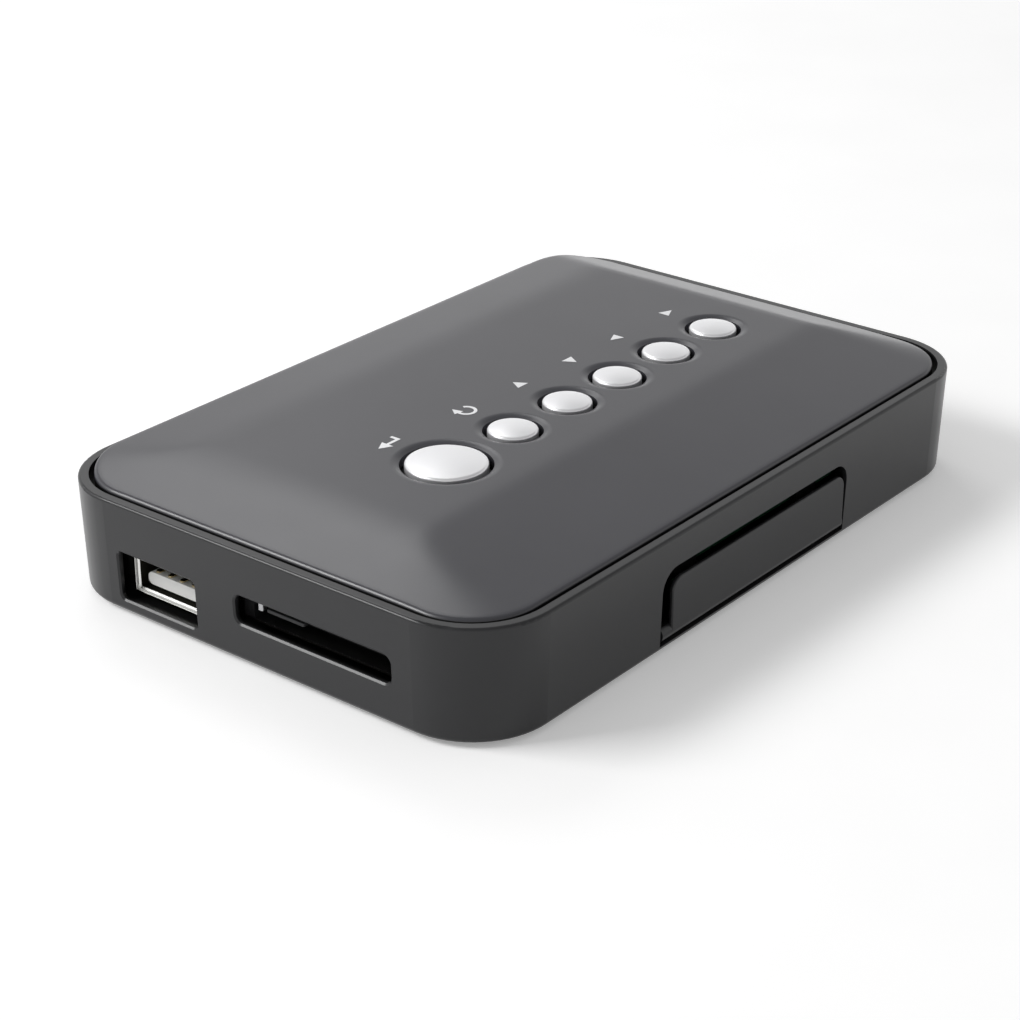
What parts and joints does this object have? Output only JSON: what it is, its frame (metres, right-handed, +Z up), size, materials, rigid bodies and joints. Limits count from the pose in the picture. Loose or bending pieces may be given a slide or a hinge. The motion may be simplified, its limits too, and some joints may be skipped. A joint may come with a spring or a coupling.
{
  "type": "media player",
  "caption": "Pocket media player: low rounded case, crowned cover with a row of push buttons, USB and card sockets at one end and a hinged port door in front.",
  "frame": {"origin": "middle of the footprint, on the plane of the feet", "axes": "+X along the long side, away from the end with the USB and card sockets; -Y is the front, with the port door; +Z up"},
  "size_m": [0.12, 0.08, 0.0201],
  "materials": {
    "case_plastic": "satin moulded",
    "cover_plastic": "satin moulded",
    "key_plastic": "silver-white satin gloss",
    "switch_plastic": "moulded black",
    "tongue_plastic": "moulded white",
    "bright_steel": "plated sheet",
    "pin_steel": "plain",
    "contact_gold": "gold flash",
    "board_laminate": "solder mask",
    "chip_plastic": "moulded",
    "can_aluminium": "plain",
    "lens_plastic": "smoked gloss",
    "foot_rubber": "matte"
  },
  "bodies": {
    "case": {"lower_case": "case_plastic", "top_cover": "cover_plastic", "switch_bodies": "switch_plastic", "sd_frame": "switch_plastic", "av_jack_body": "switch_plastic", "dc_jack_body": "switch_plastic", "drive_socket": "switch_plastic", "hdmi_tongue": "switch_plastic", "usb_tongue": "tongue_plastic", "usb_shell": "bright_steel", "sd_plate": "bright_steel", "hdmi_shell": "bright_steel", "av_jack_collar": "bright_steel", "dc_jack_pin": "bright_steel", "crystal": "bright_steel", "door_pin": "pin_steel", "case_screws": "pin_steel", "board_screws": "pin_steel", "usb_contacts": "contact_gold", "sd_contacts": "contact_gold", "drive_contacts": "contact_gold", "main_board": "board_laminate", "processor": "chip_plastic", "memory_chips": "chip_plastic", "flash_chip": "chip_plastic", "inductors": "chip_plastic", "ir_receiver": "chip_plastic", "heat_sink": "can_aluminium", "capacitors": "can_aluminium", "ir_lens": "lens_plastic", "front_left_foot": "foot_rubber", "front_right_foot": "foot_rubber", "rear_left_foot": "foot_rubber", "rear_right_foot": "foot_rubber"},
    "enter_key": {"enter_button": "key_plastic", "enter_plunger": "switch_plastic"},
    "return_key": {"return_button": "key_plastic", "return_plunger": "switch_plastic"},
    "up_key": {"up_button": "key_plastic", "up_plunger": "switch_plastic"},
    "down_key": {"down_button": "key_plastic", "down_plunger": "switch_plastic"},
    "left_key": {"left_button": "key_plastic", "left_plunger": "switch_plastic"},
    "right_key": {"right_button": "key_plastic", "right_plunger": "switch_plastic"},
    "door": {"port_door": "case_plastic"}
  },
  "joints": [
    {"name": "enter_press", "type": "slide", "parent": "case", "child": "enter_key", "axis": [0, 0, -1], "range_m": [0, 0.0004], "stiffness_N_per_m": 2500},
    {"name": "return_press", "type": "slide", "parent": "case", "child": "return_key", "axis": [0, 0, -1], "range_m": [0, 0.0004], "stiffness_N_per_m": 2500},
    {"name": "up_press", "type": "slide", "parent": "case", "child": "up_key", "axis": [0, 0, -1], "range_m": [0, 0.0004], "stiffness_N_per_m": 2500},
    {"name": "down_press", "type": "slide", "parent": "case", "child": "down_key", "axis": [0, 0, -1], "range_m": [0, 0.0004], "stiffness_N_per_m": 2500},
    {"name": "left_press", "type": "slide", "parent": "case", "child": "left_key", "axis": [0, 0, -1], "range_m": [0, 0.0004], "stiffness_N_per_m": 2500},
    {"name": "right_press", "type": "slide", "parent": "case", "child": "right_key", "axis": [0, 0, -1], "range_m": [0, 0.0004], "stiffness_N_per_m": 2500},
    {"name": "door_hinge", "type": "hinge", "parent": "case", "child": "door", "pos_m": [0, -0.0385, 0.00285], "axis": [1, 0, 0], "range_deg": [0, 90]}
  ]
}
